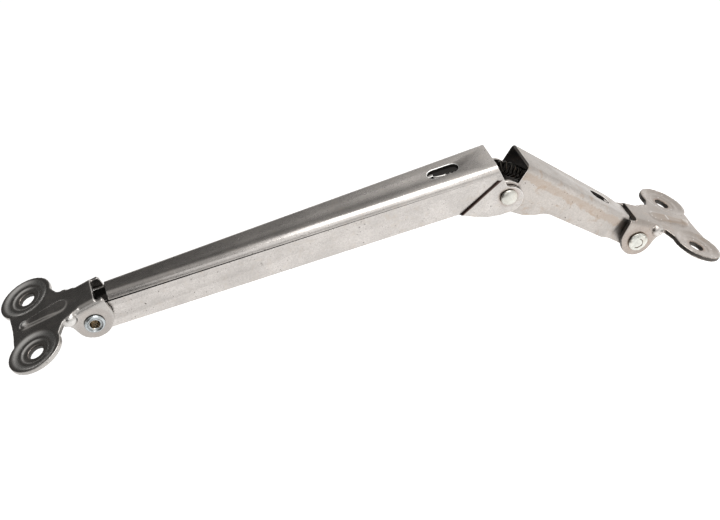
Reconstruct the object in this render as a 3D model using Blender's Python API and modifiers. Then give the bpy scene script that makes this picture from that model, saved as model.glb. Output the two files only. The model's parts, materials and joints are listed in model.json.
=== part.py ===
"""Folding elbow stay: two pressed channel arms and two clevis brackets on three riveted pivots,
with a tension spring lying over the elbow pivot.  Millimetres are turned into metres by MM."""
import bpy
import bmesh
import math
from mathutils import Matrix, Vector

MM = 0.001

# sheet thicknesses and the gap left between pieces that touch
ARM_SHEET = 1.5
PLATE_SHEET = 2.2
GAP = 0.3

# long arm, drawn in a frame with its origin on the elbow axis, x towards the elbow, z towards the web
LONG_REACH = 175.3
LONG_DROP = 5.6
LONG_TOP = 14.9
LONG_EDGE = -1.3
LONG_HALF_ANCHOR = 5.4
LONG_HALF_ELBOW = 10.6
LONG_BEND = 3.2
LONG_WEB_END = -1.7
EAR_HALF = 11.4
EAR_RADIUS = 6.3
EAR_LOW = -1.7
LONG_WEB_BACK = 8.3
JOGGLE_TOP = (-2.4, 9.3)
JOGGLE_FOOT = (-20.9, -1.3)
JOGGLE_RUN = 1.0
LONG_TOE = [(-5.0, -7.9), (-10.3, -6.8), (-15.3, -4.6)]
LONG_HEEL_RADIUS = 6.9
LONG_OVERRUN = 12.0

# short arm, drawn in a frame with its origin on the elbow axis, x towards the lid
SHORT_REACH = 74.5
SHORT_RISE = 8.0
SHORT_TOP = 15.2
SHORT_HALF_ELBOW = 9.2
SHORT_HALF_MID = 8.4
SHORT_HALF_LID = 5.7
SHORT_PINCH = (56.6, 62.3)
SHORT_BEND = 2.2
SHORT_WEB_START = 0.6
SHORT_WEB_BACK = 9.5
SHORT_BELLY = [(8.0, -6.3), (13.5, -5.4), (18.7, -3.1), (22.5, -0.6), (25.5, 0.3)]
SHORT_HEEL_RADIUS = 6.2
SHORT_TOE_RADIUS = 6.6
SHORT_OVERRUN = 12.0

# channel sections: points round a bend, and how far the uncut walls hang down
BEND_STEPS = 8
WALL_LOW = -11.0

# web slots that the spring ends hook into
LONG_SLOT = (-28.6, -16.8)
SHORT_SLOT = (43.6, 53.0)
SLOT_HALF = 2.15
SLOT_FLARE = 0.55
TONGUE_HALF = 0.7
TONGUE_DROP = 4.6

# clevis bracket, drawn in a frame with its origin on its pivot, u along the plate, w to the plate top
CLEVIS_HALF = 8.3
CLEVIS_TOP = 9.6
PLATE_EDGE = 0.5
CLEVIS_BEND = 2.8
CLEVIS_WEB_END = -5.3
CLEVIS_EAR_END = -8.6
CLEVIS_RADIUS = 7.6
SCREW_U = 23.0
SCREW_V = 17.0
SCREW_HOLE = 6.6
LOBE_RADIUS = 11.6
LOBE_FLATTEN = 0.92
WAIST_U = 30.8
DISH_RADIUS = 8.6
DISH_FLOOR = 5.9
DISH_DEPTH = 1.2
RIB_HEIGHT = 0.9
RIB_ROOT = (9.4, 3.6)
RIB_TIP = (25.4, 1.9)
GUSSET_RADII = (2.9, 1.8, 2.7)
PLATE_NECK = [(2.0, CLEVIS_HALF - 1.0), (6.6, CLEVIS_HALF), (9.4, 10.2), (10.8, 12.8)]
EAR_CHIN = [(7.9, 1.2), (8.2, 2.8), (9.2, 4.4), (10.6, 5.4), (10.6, CLEVIS_TOP + 2)]

# rivets and sleeve
PIN_RADIUS = 2.5
HOLLOW_PIN_RADIUS = 3.3
HOLLOW_BORE = 2.0
HOLLOW_FLANGE = 4.2
ELBOW_HEAD = 3.6
LID_HEAD = 4.5
SLEEVE_RADIUS = 3.6
TURNED_SIDES = 36

# cutters: half length of a cutter that passes right through, and its sides when round
THROUGH = 30.0
ROUND_SIDES = 32

# tension spring
WIRE = 0.95
COIL_RADIUS = 2.6
COIL_STEP = 1.95
POINTS_PER_TURN = 11
RING_RADIUS = 1.75
RING_STEPS = 12
RING_OPEN = 150
WRAP_STEPS = 8

# rest pose, direction of each member in the XZ plane, degrees from +X towards +Z
LONG_ANGLE = -12.6
SHORT_ANGLE = -60.8
LID_ANGLE = -48.0

for old in list(bpy.data.objects):
    bpy.data.objects.remove(old, do_unlink=True)

PARTS = bpy.data.collections.new("elbow_stay")
TOOLS = bpy.data.collections.new("cutters")
bpy.context.scene.collection.children.link(PARTS)
bpy.context.scene.collection.children.link(TOOLS)
TOOLS.hide_render = True


def material(name, colour, roughness, metallic):
    """A plain Principled material."""
    mat = bpy.data.materials.new(name)
    mat.use_nodes = True
    shader = mat.node_tree.nodes["Principled BSDF"]
    shader.inputs["Base Color"].default_value = (*colour, 1.0)
    shader.inputs["Roughness"].default_value = roughness
    shader.inputs["Metallic"].default_value = metallic
    mat.diffuse_color = (*colour, 1.0)
    return mat


def axis_empty(name, parent, location, angle):
    """An empty on a joint axis, its +X turned to the given direction in the XZ plane."""
    empty = bpy.data.objects.new(name, None)
    PARTS.objects.link(empty)
    empty.parent = parent
    empty.location = [value * MM for value in location]
    empty.rotation_euler = (0.0, -math.radians(angle), 0.0)
    empty.empty_display_size = 0.01
    return empty


def add_object(name, mesh, parent, collection=PARTS, location=(0, 0, 0), rotation=(0, 0, 0)):
    """Link a mesh as an object, its location in millimetres and its rotation in degrees."""
    obj = bpy.data.objects.new(name, mesh)
    collection.objects.link(obj)
    obj.parent = parent
    obj.location = [value * MM for value in location]
    obj.rotation_euler = [math.radians(value) for value in rotation]
    if collection is TOOLS:
        obj.hide_render = True
        obj.display_type = "WIRE"
    return obj


def arc(centre, radius, start, end, steps):
    """Points on an arc, angles in degrees."""
    points = []
    for i in range(steps + 1):
        angle = math.radians(start + (end - start) * i / steps)
        points.append((centre[0] + radius * math.cos(angle), centre[1] + radius * math.sin(angle)))
    return points


def prism(name, outline, half):
    """A flat outline in the XY plane extruded to both sides along Z, as a closed mesh."""
    curve = bpy.data.curves.new(name, "CURVE")
    curve.dimensions = "2D"
    curve.fill_mode = "BOTH"
    curve.extrude = half * MM
    spline = curve.splines.new("POLY")
    spline.points.add(len(outline) - 1)
    for point, (x, y) in zip(spline.points, outline):
        point.co = (x * MM, y * MM, 0.0, 1.0)
    spline.use_cyclic_u = True
    obj = bpy.data.objects.new(name, curve)
    TOOLS.objects.link(obj)
    graph = bpy.context.evaluated_depsgraph_get()
    mesh = bpy.data.meshes.new_from_object(obj.evaluated_get(graph))
    bpy.data.objects.remove(obj, do_unlink=True)
    weld(mesh)
    return mesh


def weld(mesh):
    """Merge doubled points and turn every face outwards."""
    work = bmesh.new()
    work.from_mesh(mesh)
    bmesh.ops.remove_doubles(work, verts=work.verts, dist=1e-7)
    bmesh.ops.recalc_face_normals(work, faces=work.faces)
    work.to_mesh(mesh)
    work.free()


def hull(name, rings):
    """The convex hull of several rings of points, each ring being (outline, height)."""
    work = bmesh.new()
    for outline, height in rings:
        for x, y in outline:
            work.verts.new((x * MM, y * MM, height * MM))
    bmesh.ops.convex_hull(work, input=work.verts)
    mesh = bpy.data.meshes.new(name)
    work.to_mesh(mesh)
    work.free()
    weld(mesh)
    return mesh


def cone(name, low_radius, high_radius, low, high):
    """A capped cone or cylinder round Z between two heights."""
    work = bmesh.new()
    bmesh.ops.create_cone(work, cap_ends=True, segments=ROUND_SIDES, radius1=low_radius * MM,
                          radius2=high_radius * MM, depth=(high - low) * MM,
                          matrix=Matrix.Translation((0, 0, (high + low) / 2 * MM)))
    mesh = bpy.data.meshes.new(name)
    work.to_mesh(mesh)
    work.free()
    return mesh


def ball(name, radii, centre):
    """An ellipsoid."""
    work = bmesh.new()
    bmesh.ops.create_uvsphere(work, u_segments=20, v_segments=12, radius=MM)
    bmesh.ops.scale(work, vec=Vector(radii), verts=work.verts)
    bmesh.ops.translate(work, vec=Vector(centre) * MM, verts=work.verts)
    mesh = bpy.data.meshes.new(name)
    work.to_mesh(mesh)
    work.free()
    return mesh


def cut(target, tool, operation="DIFFERENCE"):
    """Add an exact Boolean."""
    modifier = target.modifiers.new(tool.name, "BOOLEAN")
    modifier.operation = operation
    modifier.solver = "EXACT"
    modifier.object = tool


def smooth(obj, angle=35.0):
    """Smooth shading with sharp edges kept."""
    obj.data.shade_smooth()
    obj.data.set_sharp_from_angle(angle=math.radians(angle))


def turned(name, profile, parent, mat, closed=False):
    """A turned piece on an axis along Y, its profile a list of (radius, distance along +Y)."""
    mesh = bpy.data.meshes.new(name)
    points = [(radius * MM, 0.0, along * MM) for radius, along in profile]
    edges = [(i, i + 1) for i in range(len(points) - 1)]
    if closed:
        edges.append((len(points) - 1, 0))
    mesh.from_pydata(points, edges, [])
    obj = add_object(name, mesh, parent, rotation=(-90, 0, 0))
    screw = obj.modifiers.new("turn", "SCREW")
    screw.steps = TURNED_SIDES
    screw.render_steps = TURNED_SIDES
    screw.use_merge_vertices = True
    screw.merge_threshold = 0.00001
    mesh.materials.append(mat)
    return obj


def channel(name, stations, bend, top, joggle=None):
    """One half of an open channel, as a surface from the middle of its web to the foot of its wall.

    stations is a list of (x, half width); joggle adds a stepped-out ear past a slanted line."""
    columns = []
    for x, half in stations:
        row = [(x, 0.0, top)]
        for i in range(BEND_STEPS + 1):
            turn = math.pi / 2 * i / BEND_STEPS
            row.append((x, half - bend + bend * math.sin(turn), top - bend + bend * math.cos(turn)))
        if joggle is None:
            row.append((x, half, WALL_LOW))
        else:
            for height in (JOGGLE_TOP[1], LONG_EDGE, WALL_LOW):
                row.append((joggle(x, height), ear_or_wall(x, half), height))
        columns.append(row)
    mesh = bpy.data.meshes.new(name)
    count = len(columns[0])
    points = [tuple(value * MM for value in point) for row in columns for point in row]
    faces = []
    for i in range(len(columns) - 1):
        for j in range(count - 1):
            a = i * count + j
            faces.append((a, a + count, a + count + 1, a + 1))
    mesh.from_pydata(points, [], faces)
    mesh.update()
    return mesh


def joggle_shift(x, height):
    """The x of a channel column at a given height: columns near the elbow lean along the joggle."""
    slope = (JOGGLE_TOP[0] - JOGGLE_FOOT[0]) / (JOGGLE_TOP[1] - JOGGLE_FOOT[1])
    if x < JOGGLE_TOP[0] - 2 * JOGGLE_RUN or x > JOGGLE_TOP[0] + 2 * JOGGLE_RUN:
        return x
    return x + (height - JOGGLE_TOP[1]) * slope


def ear_or_wall(x, half):
    """Half width of the wall rows: the ear stands out past the joggle."""
    return EAR_HALF if x > JOGGLE_TOP[0] - JOGGLE_RUN / 2 else half


def thicken(obj, sheet):
    """Mirror the half channel and give it thickness on its inner side."""
    mirror = obj.modifiers.new("mirror", "MIRROR")
    mirror.use_axis = (False, True, False)
    mirror.use_clip = True
    mirror.merge_threshold = 0.00001
    shell = obj.modifiers.new("sheet", "SOLIDIFY")
    shell.thickness = sheet * MM
    shell.offset = -1.0
    shell.use_even_offset = True


def side_cutter(name, outline, parent, location=(0, 0, 0)):
    """A block with a side-view outline (x, z), wide enough to cover the whole part."""
    mesh = prism(name, outline, THROUGH)
    return add_object(name, mesh, parent, TOOLS, location, (90, 0, 0))


def pin_hole(name, radius, parent, location):
    """A cylinder along Y for a pivot hole."""
    cylinder = cone(name, radius, radius, -THROUGH, THROUGH)
    return add_object(name, cylinder, parent, TOOLS, location, (90, 0, 0))


def obround(start, end, half, steps=8):
    """Outline of a slot with round ends along x."""
    right = arc((end - half, 0), half, -90, 90, steps)
    left = arc((start + half, 0), half, 90, 270, steps)
    return right + left


def slot_cutter(name, span, top, parent, location):
    """A slot through the web, its upper rim flared."""
    flare = 2 * SLOT_FLARE
    narrow = obround(span[0], span[1], SLOT_HALF)
    wide = obround(span[0] - flare, span[1] + flare, SLOT_HALF + flare)
    mesh = hull(name, [(narrow, top - 2 * ARM_SHEET), (narrow, top - SLOT_FLARE), (wide, top + SLOT_FLARE)])
    return add_object(name, mesh, parent, TOOLS, location)


def tongue(name, x, facing, top, parent, location):
    """A small tongue bent down from the end of a slot, which the spring ring hangs on."""
    root = top - 0.35
    step = top - 1.3
    foot = top - TONGUE_DROP
    outline = [(-1.2, root), (-1.2, step), (0.3, step), (0.3, foot), (1.5, foot), (1.5, root)]
    mesh = prism(name, [(x + facing * along, z) for along, z in outline], TONGUE_HALF)
    return add_object(name, mesh, parent, TOOLS, location, (90, 0, 0))


def make_long_arm(parent, mat):
    """The long channel arm with stepped-out ears round the elbow axis."""
    place = (LONG_REACH, 0, -LONG_DROP)
    slope = (LONG_HALF_ELBOW - LONG_HALF_ANCHOR) / LONG_REACH

    def half_at(x):
        return LONG_HALF_ELBOW + slope * x

    xs = (-LONG_REACH - LONG_OVERRUN, JOGGLE_TOP[0] - JOGGLE_RUN, JOGGLE_TOP[0], LONG_OVERRUN)
    mesh = channel("long_arm", [(x, half_at(x)) for x in xs], LONG_BEND, LONG_TOP, joggle_shift)
    mesh.materials.append(mat)
    arm = add_object("long_arm", mesh, parent, location=place)
    thicken(arm, ARM_SHEET)
    outline = [(LONG_WEB_END, LONG_TOP + 3), (LONG_WEB_END, LONG_TOP - 1), (0.2, 5.4)]
    outline += arc((0, EAR_LOW), EAR_RADIUS, 76, -90, 18)
    outline += LONG_TOE
    outline += [(JOGGLE_FOOT[0] + 0.8, LONG_EDGE - 0.6), (JOGGLE_FOOT[0] - 0.4, LONG_EDGE)]
    outline += [(-LONG_REACH + 6.0, LONG_EDGE)]
    outline += arc((-LONG_REACH, LONG_DROP), LONG_HEEL_RADIUS, -88, -270, 14)
    back = -LONG_REACH + LONG_WEB_BACK
    outline += [(back - 3.0, LONG_DROP + 6.2), (back - 0.6, LONG_DROP + 6.2)]
    outline += [(back, LONG_DROP + 7.0), (back, LONG_TOP + 3)]
    cut(arm, side_cutter("long_arm_outline", outline, parent, place), "INTERSECT")
    cut(arm, slot_cutter("long_slot", LONG_SLOT, LONG_TOP, parent, place))
    cut(arm, tongue("long_tongue", LONG_SLOT[0], 1, LONG_TOP, parent, place), "UNION")
    cut(arm, pin_hole("long_elbow_hole", PIN_RADIUS + GAP, parent, place))
    cut(arm, pin_hole("long_anchor_hole", HOLLOW_PIN_RADIUS + GAP, parent, (0, 0, 0)))
    return arm


def make_short_arm(parent, mat):
    """The short channel arm, pinched in where it enters the lid clevis."""
    stations = [(-SHORT_OVERRUN, SHORT_HALF_ELBOW), (8.0, SHORT_HALF_ELBOW), (SHORT_PINCH[0], SHORT_HALF_MID),
                (SHORT_PINCH[1], SHORT_HALF_LID), (SHORT_REACH + SHORT_OVERRUN, SHORT_HALF_LID)]
    mesh = channel("short_arm", stations, SHORT_BEND, SHORT_TOP)
    mesh.materials.append(mat)
    arm = add_object("short_arm", mesh, parent)
    thicken(arm, ARM_SHEET)
    outline = [(SHORT_WEB_START, SHORT_TOP + 3), (SHORT_WEB_START, SHORT_TOP - 1), (1.4, 6.3)]
    outline += arc((0, 0), SHORT_HEEL_RADIUS, 78, 270, 16)
    outline += SHORT_BELLY
    outline += [(SHORT_REACH - 5.5, 2.4)]
    outline += arc((SHORT_REACH, SHORT_RISE), SHORT_TOE_RADIUS, -90, 125, 15)
    back = SHORT_REACH - SHORT_WEB_BACK
    outline += [(back + 0.5, SHORT_RISE + 6.0), (back, SHORT_RISE + 6.4), (back, SHORT_TOP + 3)]
    cut(arm, side_cutter("short_arm_outline", outline, parent), "INTERSECT")
    cut(arm, slot_cutter("short_slot", SHORT_SLOT, SHORT_TOP, parent, (0, 0, 0)))
    cut(arm, tongue("short_tongue", SHORT_SLOT[1], -1, SHORT_TOP, parent, (0, 0, 0)), "UNION")
    cut(arm, pin_hole("short_elbow_hole", PIN_RADIUS + GAP, parent, (0, 0, 0)))
    cut(arm, pin_hole("short_lid_hole", PIN_RADIUS + GAP, parent, (SHORT_REACH, 0, SHORT_RISE)))
    return arm


def plate_outline():
    """Two-lobed plate outline, lobes round the screw holes and a shallow waist between them."""
    side = list(PLATE_NECK)
    for u, v in arc((0, 0), LOBE_RADIUS, 192, -44, 22):
        side.append((SCREW_U + u, SCREW_V + v * LOBE_FLATTEN))
    side += [(WAIST_U + 0.3, 5.0), (WAIST_U, 0.0)]
    mirrored = [(u, -v) for u, v in reversed(side[:-1])]
    return side + mirrored


def make_bracket(name, parent, mat, rotation, hole_radius):
    """The pressed clevis bracket: two ears, a web and a two-lobed plate with dished screw holes."""
    stations = [(-14.0, CLEVIS_HALF), (10.5, CLEVIS_HALF)]
    mesh = channel(name, stations, CLEVIS_BEND, CLEVIS_TOP)
    mesh.materials.append(mat)
    bracket = add_object(name, mesh, parent, rotation=rotation)
    thicken(bracket, PLATE_SHEET)

    def tool(label, tool_mesh, location=(0, 0, 0), rotation=(0, 0, 0)):
        """A cutter in the bracket's own frame."""
        return add_object(name + label, tool_mesh, bracket, TOOLS, location, rotation)

    ear = [(-8.1, CLEVIS_TOP - 1.2), (CLEVIS_EAR_END, CLEVIS_TOP - 2.6), (CLEVIS_EAR_END, 1.0)]
    ear += [(-8.2, -1.2)]
    ear += arc((0, 0), CLEVIS_RADIUS, 206, 352, 14)
    ear += EAR_CHIN
    ear += [(CLEVIS_WEB_END, CLEVIS_TOP + 2), (CLEVIS_WEB_END, CLEVIS_TOP - 1.0)]
    cut(bracket, tool("_outline", prism(name, ear, THROUGH), rotation=(90, 0, 0)), "INTERSECT")
    inner = CLEVIS_HALF - PLATE_SHEET
    far = -20.0
    gap = [(far, -inner), (CLEVIS_WEB_END, -inner), (CLEVIS_WEB_END, inner), (far, inner)]
    cut(bracket, tool("_mouth", prism(name, gap, 4.0), (0, 0, CLEVIS_TOP)))
    plate = prism(name, plate_outline(), PLATE_SHEET / 2)
    plate = tool("_plate", plate, (0, 0, CLEVIS_TOP - PLATE_SHEET / 2))
    rounding = plate.modifiers.new("rounded_edges", "BEVEL")
    rounding.width = PLATE_EDGE * MM
    rounding.segments = 2
    rounding.limit_method = "ANGLE"
    rounding.angle_limit = math.radians(60)
    cut(bracket, plate, "UNION")
    low = CLEVIS_TOP - PLATE_SHEET - DISH_DEPTH
    for number, side in enumerate((-1, 1)):
        spot = (SCREW_U, side * SCREW_V, 0)
        boss = cone(name, DISH_FLOOR + 1.6, DISH_RADIUS + 1.4, low, CLEVIS_TOP - 1.0)
        cut(bracket, tool("_boss_%d" % number, boss, spot), "UNION")
        gusset = ball(name, GUSSET_RADII, (7.0, side * (CLEVIS_HALF + 0.1), CLEVIS_TOP - 2.5))
        cut(bracket, tool("_gusset_%d" % number, gusset), "UNION")
    rib = hull(name, [(rib_outline(0.9), CLEVIS_TOP - 0.7), (rib_outline(-0.5), CLEVIS_TOP + RIB_HEIGHT)])
    cut(bracket, tool("_rib", rib), "UNION")
    under = CLEVIS_TOP - PLATE_SHEET
    groove = hull(name, [(rib_outline(0.2), under - 1.0), (rib_outline(-1.0), under + RIB_HEIGHT)])
    cut(bracket, tool("_groove", groove))
    for number, side in enumerate((-1, 1)):
        spot = (SCREW_U, side * SCREW_V, 0)
        spread = (DISH_RADIUS - DISH_FLOOR) / DISH_DEPTH
        dish = cone(name, DISH_FLOOR, DISH_FLOOR + spread * (DISH_DEPTH + 1.0),
                    CLEVIS_TOP - DISH_DEPTH, CLEVIS_TOP + 1.0)
        cut(bracket, tool("_dish_%d" % number, dish, spot))
        hole = cone(name, SCREW_HOLE / 2, SCREW_HOLE / 2, low - 3, CLEVIS_TOP + 3)
        cut(bracket, tool("_screw_%d" % number, hole, spot))
    pivot = cone(name, hole_radius + GAP, hole_radius + GAP, -THROUGH, THROUGH)
    cut(bracket, tool("_pivot", pivot, rotation=(90, 0, 0)))
    return bracket


def rib_outline(grow):
    """Tapering rib on the plate, wide at the web and round at its outer end."""
    wide = arc((RIB_ROOT[0], 0), RIB_ROOT[1] + grow, 90, 270, 8)
    narrow = arc((RIB_TIP[0], 0), RIB_TIP[1] + grow, -90, 90, 8)
    return wide + narrow


def hollow_rivet(parent, mat):
    """Tubular rivet with a rolled flange at both ends."""
    reach = CLEVIS_HALF + GAP
    lip = [(HOLLOW_PIN_RADIUS, reach), (HOLLOW_FLANGE - 0.2, reach), (HOLLOW_FLANGE, reach + 0.35),
           (HOLLOW_FLANGE - 0.25, reach + 0.85), (HOLLOW_FLANGE - 0.9, reach + 1.1),
           (HOLLOW_BORE + 0.5, reach + 0.9), (HOLLOW_BORE, reach + 0.2)]
    near = [(radius, -along) for radius, along in reversed(lip)]
    outline = list(reversed(lip + near))
    return turned("anchor_rivet", outline, parent, mat, closed=True)


def solid_rivet(name, parent, mat, reach, head, dome, foot, pin=PIN_RADIUS):
    """Solid rivet with a domed head at each end of its pin, the far one lower."""
    profile = [(0.0, reach + foot), (head * 0.55, reach + foot * 0.86), (head * 0.9, reach + foot * 0.5),
               (head, reach), (pin, reach), (pin, -reach), (head, -reach)]
    steps = 5
    for i in range(1, steps):
        turn = math.pi / 2 * i / steps
        profile.append((head * math.cos(turn), -reach - 0.25 - (dome - 0.25) * math.sin(turn)))
    profile.append((0.0, -reach - dome))
    return turned(name, profile, parent, mat)


def sleeve(parent, mat):
    """Spacer tube between the short arm's walls, which the spring lies on."""
    half = SHORT_HALF_ELBOW - ARM_SHEET - GAP
    bore = PIN_RADIUS + GAP
    ring = [(SLEEVE_RADIUS, half), (SLEEVE_RADIUS, -half), (bore, -half), (bore, half)]
    return turned("elbow_sleeve", ring, parent, mat, closed=True)


def turn_about_y(point, degrees):
    """Turn an (x, z) point in the XZ plane."""
    angle = math.radians(degrees)
    x, z = point
    return (x * math.cos(angle) - z * math.sin(angle), x * math.sin(angle) + z * math.cos(angle))


def spring_path():
    """Centre line of the coil in the long arm's frame: straight, round the sleeve, straight."""
    wrap = SLEEVE_RADIUS + GAP + COIL_RADIUS + WIRE / 2
    bend = SHORT_ANGLE - LONG_ANGLE
    start = (-22.0, LONG_TOP - ARM_SHEET - COIL_RADIUS - WIRE)
    finish_local = (SHORT_SLOT[0] + 3.0, SHORT_TOP - ARM_SHEET - COIL_RADIUS - WIRE)
    finish = turn_about_y(finish_local, bend)

    def tangent(point, sign):
        """Angle on the wrap circle where the line from a point touches it."""
        reach = math.hypot(*point)
        return math.atan2(point[1], point[0]) - sign * math.acos(wrap / reach)

    first = tangent(start, 1)
    last = tangent(finish, -1)
    points = [start]
    for i in range(WRAP_STEPS + 1):
        angle = first + (last - first) * i / WRAP_STEPS
        points.append((wrap * math.cos(angle), wrap * math.sin(angle)))
    points.append(finish)
    return points


def sample(path, distance):
    """Position and direction at a distance along a polyline."""
    for a, b in zip(path, path[1:]):
        length = math.dist(a, b)
        if distance <= length or b is path[-1]:
            along = ((b[0] - a[0]) / length, (b[1] - a[1]) / length)
            return (a[0] + along[0] * distance, a[1] + along[1] * distance), along
        distance -= length
    return path[-1], (1.0, 0.0)


def ring_points(centre, along):
    """A wire ring lying under the web, open towards the coil."""
    points = []
    for i in range(RING_STEPS + 1):
        angle = math.radians(-RING_OPEN + 2 * RING_OPEN * i / RING_STEPS)
        forward = RING_RADIUS * math.cos(angle)
        side = RING_RADIUS * math.sin(angle)
        points.append((centre[0] + along[0] * forward, side, centre[1] + along[1] * forward))
    return points


def make_spring(parent, mat):
    """Tension spring, its coil drawn open over the elbow, with a wire ring at each end."""
    path = spring_path()
    total = sum(math.dist(a, b) for a, b in zip(path, path[1:]))
    turns = round(total / COIL_STEP)
    coil = []
    count = turns * POINTS_PER_TURN
    for i in range(count + 1):
        centre, along = sample(path, total * i / count)
        normal = (-along[1], along[0])
        angle = 2 * math.pi * i / POINTS_PER_TURN
        up = COIL_RADIUS * math.cos(angle)
        coil.append((centre[0] + normal[0] * up, COIL_RADIUS * math.sin(angle), centre[1] + normal[1] * up))
    bend = SHORT_ANGLE - LONG_ANGLE
    left = (LONG_SLOT[0] + 1.1, LONG_TOP - ARM_SHEET - WIRE / 2 - 0.6)
    right_local = (SHORT_SLOT[1] - 1.1, SHORT_TOP - ARM_SHEET - WIRE / 2 - 0.6)
    right = turn_about_y(right_local, bend)
    right_along = turn_about_y((1.0, 0.0), bend)
    start_ring = ring_points(left, (-1.0, 0.0))
    end_ring = ring_points(right, right_along)
    points = start_ring + coil + list(reversed(end_ring))
    curve = bpy.data.curves.new("spring_line", "CURVE")
    curve.dimensions = "3D"
    curve.bevel_depth = WIRE / 2 * MM
    curve.bevel_resolution = 1
    curve.use_fill_caps = True
    spline = curve.splines.new("POLY")
    spline.points.add(len(points) - 1)
    for point, co in zip(spline.points, points):
        point.co = (co[0] * MM, co[1] * MM, co[2] * MM, 1.0)
    guide = bpy.data.objects.new("spring_line", curve)
    TOOLS.objects.link(guide)
    graph = bpy.context.evaluated_depsgraph_get()
    mesh = bpy.data.meshes.new_from_object(guide.evaluated_get(graph))
    bpy.data.objects.remove(guide, do_unlink=True)
    weld(mesh)
    mesh.materials.clear()
    mesh.materials.append(mat)
    return add_object("tension_spring", mesh, parent, location=(LONG_REACH, 0, -LONG_DROP))


STEEL_DARK = material("satin_steel_dark", (0.46, 0.45, 0.44), 0.32, 1.0)
STEEL_LIGHT = material("satin_steel_light", (0.62, 0.59, 0.57), 0.36, 1.0)
STEEL_ARM = material("channel_steel", (0.58, 0.56, 0.55), 0.33, 1.0)
STEEL_SHORT = material("short_arm_steel", (0.63, 0.60, 0.58), 0.38, 1.0)
RIVET_ZINC = material("rivet_zinc", (0.72, 0.72, 0.71), 0.28, 1.0)
RIVET_HOLLOW = material("hollow_rivet_zinc", (0.66, 0.67, 0.68), 0.25, 1.0)
RIVET_LID = material("lid_rivet_zinc", (0.70, 0.70, 0.68), 0.35, 1.0)
SLEEVE_STEEL = material("sleeve_steel", (0.55, 0.52, 0.50), 0.45, 1.0)
SPRING_STEEL = material("spring_steel", (0.52, 0.49, 0.46), 0.35, 1.0)

# the origin is on the mounting plane of the anchor bracket, midway between its screw holes
MOUNT_HEIGHT = CLEVIS_TOP - PLATE_SHEET - DISH_DEPTH
anchor_axis = axis_empty("anchor_axis", None, (SCREW_U, 0, -MOUNT_HEIGHT), 0.0)
long_axis = axis_empty("long_arm_axis", anchor_axis, (0, 0, 0), LONG_ANGLE)
short_axis = axis_empty("short_arm_axis", long_axis, (LONG_REACH, 0, -LONG_DROP), SHORT_ANGLE - LONG_ANGLE)
lid_axis = axis_empty("lid_axis", short_axis, (SHORT_REACH, 0, SHORT_RISE), LID_ANGLE - SHORT_ANGLE)

made = [
    make_bracket("anchor_bracket", anchor_axis, STEEL_DARK, (0, 0, 180), HOLLOW_PIN_RADIUS),
    hollow_rivet(anchor_axis, RIVET_HOLLOW),
    make_long_arm(long_axis, STEEL_ARM),
    make_short_arm(short_axis, STEEL_SHORT),
    solid_rivet("elbow_rivet", short_axis, RIVET_ZINC, EAR_HALF + GAP, ELBOW_HEAD, 1.6, 1.0),
    sleeve(short_axis, SLEEVE_STEEL),
    make_spring(long_axis, SPRING_STEEL),
    solid_rivet("lid_rivet", lid_axis, RIVET_LID, CLEVIS_HALF + GAP, LID_HEAD, 1.5, 1.1),
    make_bracket("lid_bracket", lid_axis, STEEL_LIGHT, (0, 0, 0), PIN_RADIUS),
]
for piece in made:
    smooth(piece)
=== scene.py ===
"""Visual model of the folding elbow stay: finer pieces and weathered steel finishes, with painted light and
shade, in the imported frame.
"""
import json
import math

import bmesh
import bpy
import numpy as np
from mathutils import Matrix, Vector, noise


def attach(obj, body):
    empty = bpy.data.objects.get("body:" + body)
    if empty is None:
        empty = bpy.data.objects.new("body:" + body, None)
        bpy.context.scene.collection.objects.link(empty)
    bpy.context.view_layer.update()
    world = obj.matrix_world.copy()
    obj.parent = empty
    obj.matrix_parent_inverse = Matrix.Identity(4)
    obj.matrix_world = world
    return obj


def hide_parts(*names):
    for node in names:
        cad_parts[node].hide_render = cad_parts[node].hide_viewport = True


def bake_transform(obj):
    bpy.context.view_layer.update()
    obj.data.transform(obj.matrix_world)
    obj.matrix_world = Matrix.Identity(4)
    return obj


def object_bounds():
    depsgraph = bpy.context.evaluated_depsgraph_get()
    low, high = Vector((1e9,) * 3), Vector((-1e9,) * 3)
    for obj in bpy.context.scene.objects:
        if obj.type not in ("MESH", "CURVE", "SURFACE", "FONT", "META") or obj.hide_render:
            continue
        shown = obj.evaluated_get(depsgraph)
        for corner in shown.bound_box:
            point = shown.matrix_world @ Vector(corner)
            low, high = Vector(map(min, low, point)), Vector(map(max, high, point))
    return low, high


MM = 0.001

# directions of the members in the XZ plane at rest, degrees from +X towards +Z
LONG_ANGLE = -12.6
SHORT_ANGLE = -60.8
LID_ANGLE = -48.0

# members, in millimetres in their own frames
LONG_TOP = 14.9
SHORT_TOP = 15.2
ARM_SHEET = 1.5
LONG_SLOT_START = -28.6
LONG_SLOT_END = -16.8
SHORT_SLOT_START = 43.6
SHORT_SLOT_END = 53.0
SCREW_U = 23.0
SCREW_V = 17.0
PLATE_TOP = 9.6
DISH_OUTER = 8.6
DISH_FLOOR = 5.9
DISH_DEPTH = 1.2
SLOPE_OUTER = 10.6
SLOPE_WIDTH = 3.0
SLOPE_DEPTH = 0.75
LAND_INNER = 6.3
RIB_TIP = 25.2
RIB_TIP_RISE = 0.9
RIB_TIP_WIDTH = 1.5
EASE_WIDTH = 0.22
NET_SIZE = 0.30
RELAX_ROUNDS = 8
WELD = 0.02

# spring
WIRE = 0.95
COIL_RADIUS = 2.6
COIL_STEP = 1.95
TURN_POINTS = 24
COIL_START = -22.0
BOW_STEPS = 24
RING_STEPS = 24
RING_RADIUS = 1.75
WIRE_SIDES = 10
SLEEVE_RADIUS = 3.6
GAP = 0.3

# foot and top of the slanted step in the long arm's walls
JOGGLE_TOP = (-2.4, 9.3)
JOGGLE_FOOT = (-20.9, -1.3)

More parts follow.
